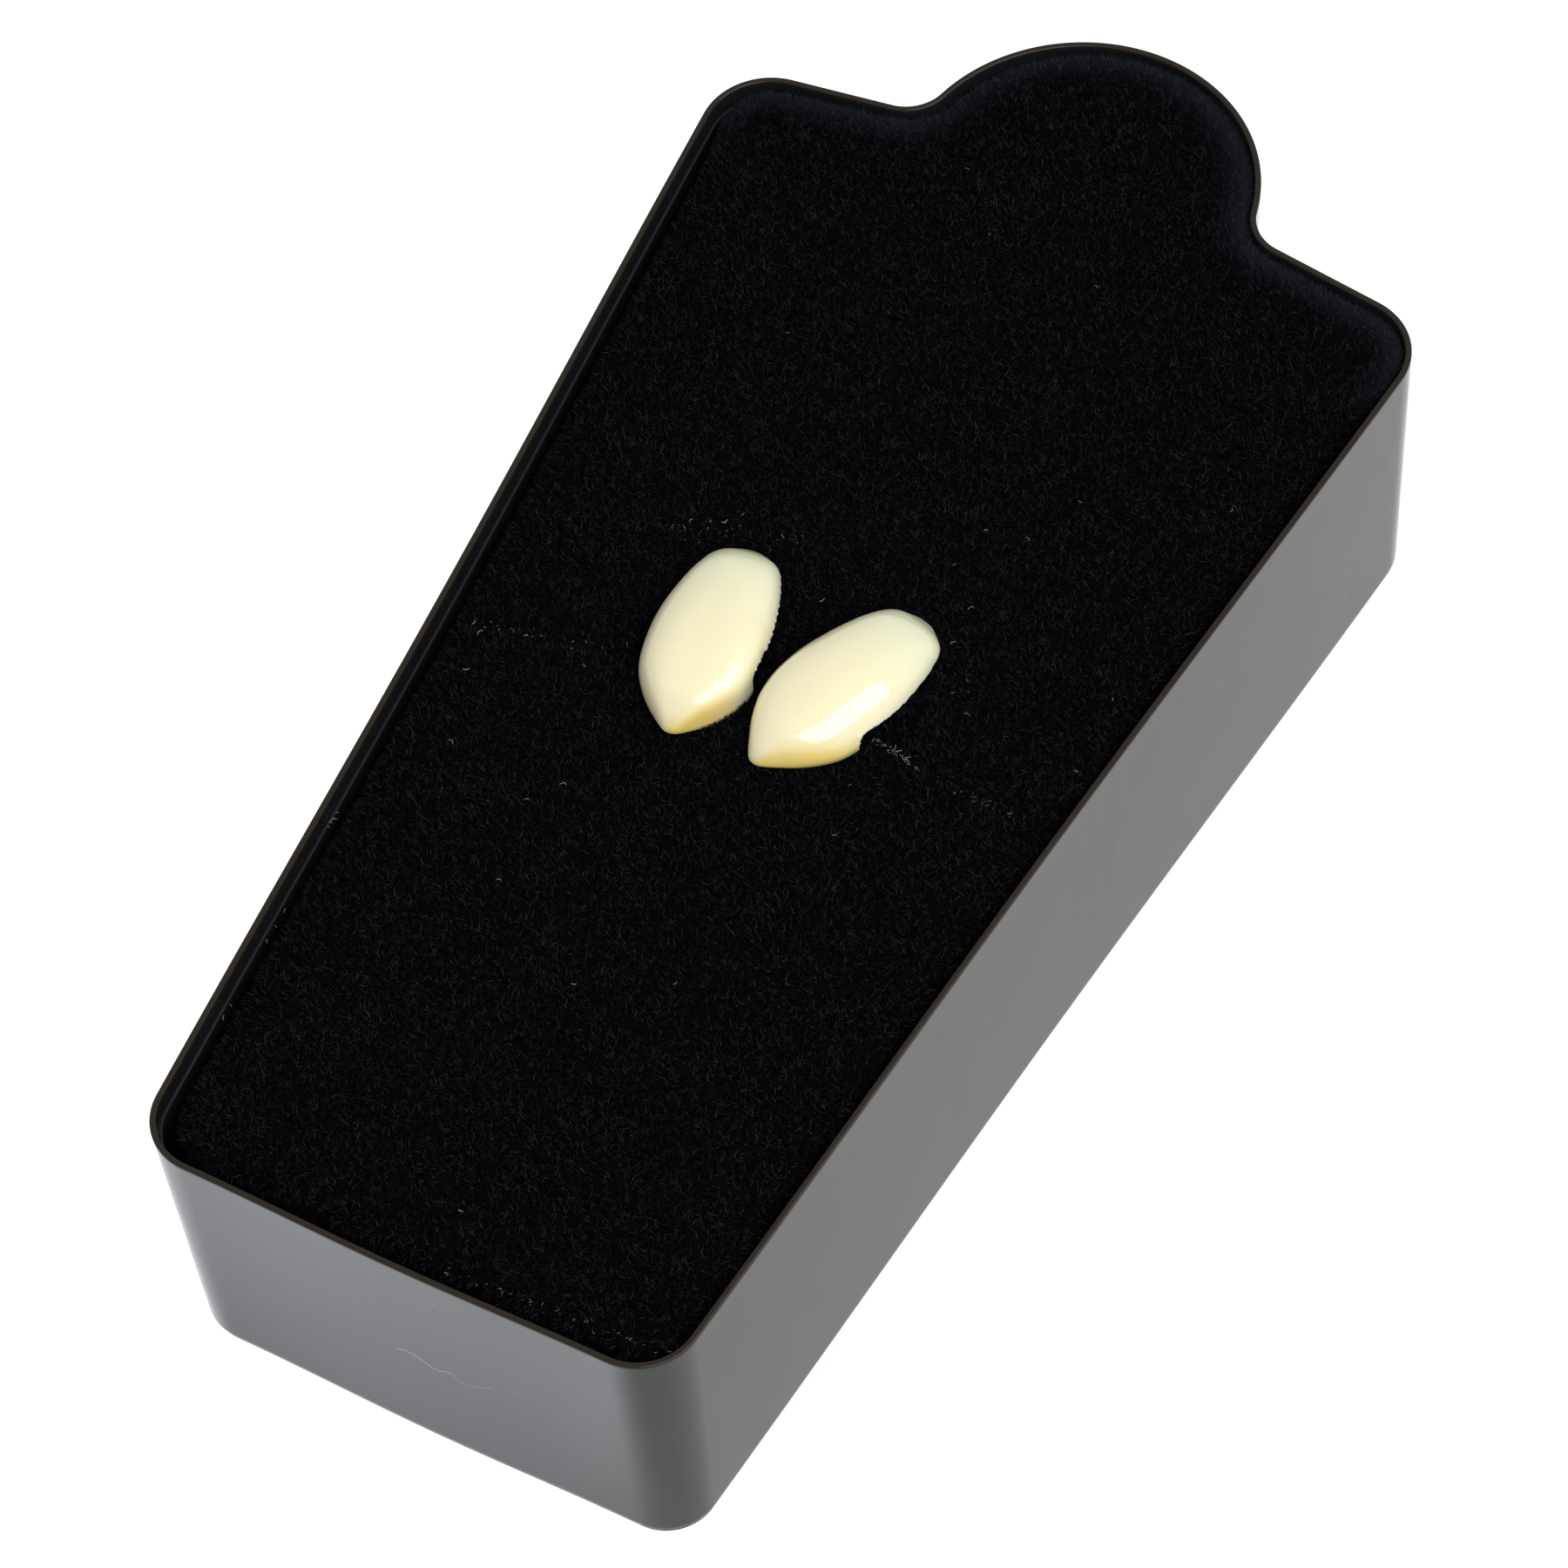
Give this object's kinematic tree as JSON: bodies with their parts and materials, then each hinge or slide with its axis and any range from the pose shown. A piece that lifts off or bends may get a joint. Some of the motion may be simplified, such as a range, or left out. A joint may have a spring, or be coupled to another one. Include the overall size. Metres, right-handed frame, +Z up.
{
  "type": "vampire fang tooth caps in a coffin-shaped box",
  "caption": "Hollow ivory fang caps for the upper canines, held in the slit of a black flocked foam insert in an open coffin-shaped plastic tray.",
  "frame": {"origin": "below the middle of the tray's footprint, on the surface that it stands on", "axes": "+Y towards the round head end of the tray, +Z up out of its open top"},
  "size_m": [0.0614, 0.1232, 0.0302],
  "materials": {
    "tray_plastic": "glossy moulded black polystyrene",
    "insert_flock": "short matt black rayon flock on foam",
    "fang_acrylic": "polished ivory dental acrylic, slightly translucent"
  },
  "bodies": {
    "root": {"tray": "tray_plastic", "flocked_insert": "insert_flock", "fang_left": "fang_acrylic", "fang_right": "fang_acrylic"}
  },
  "joints": []
}
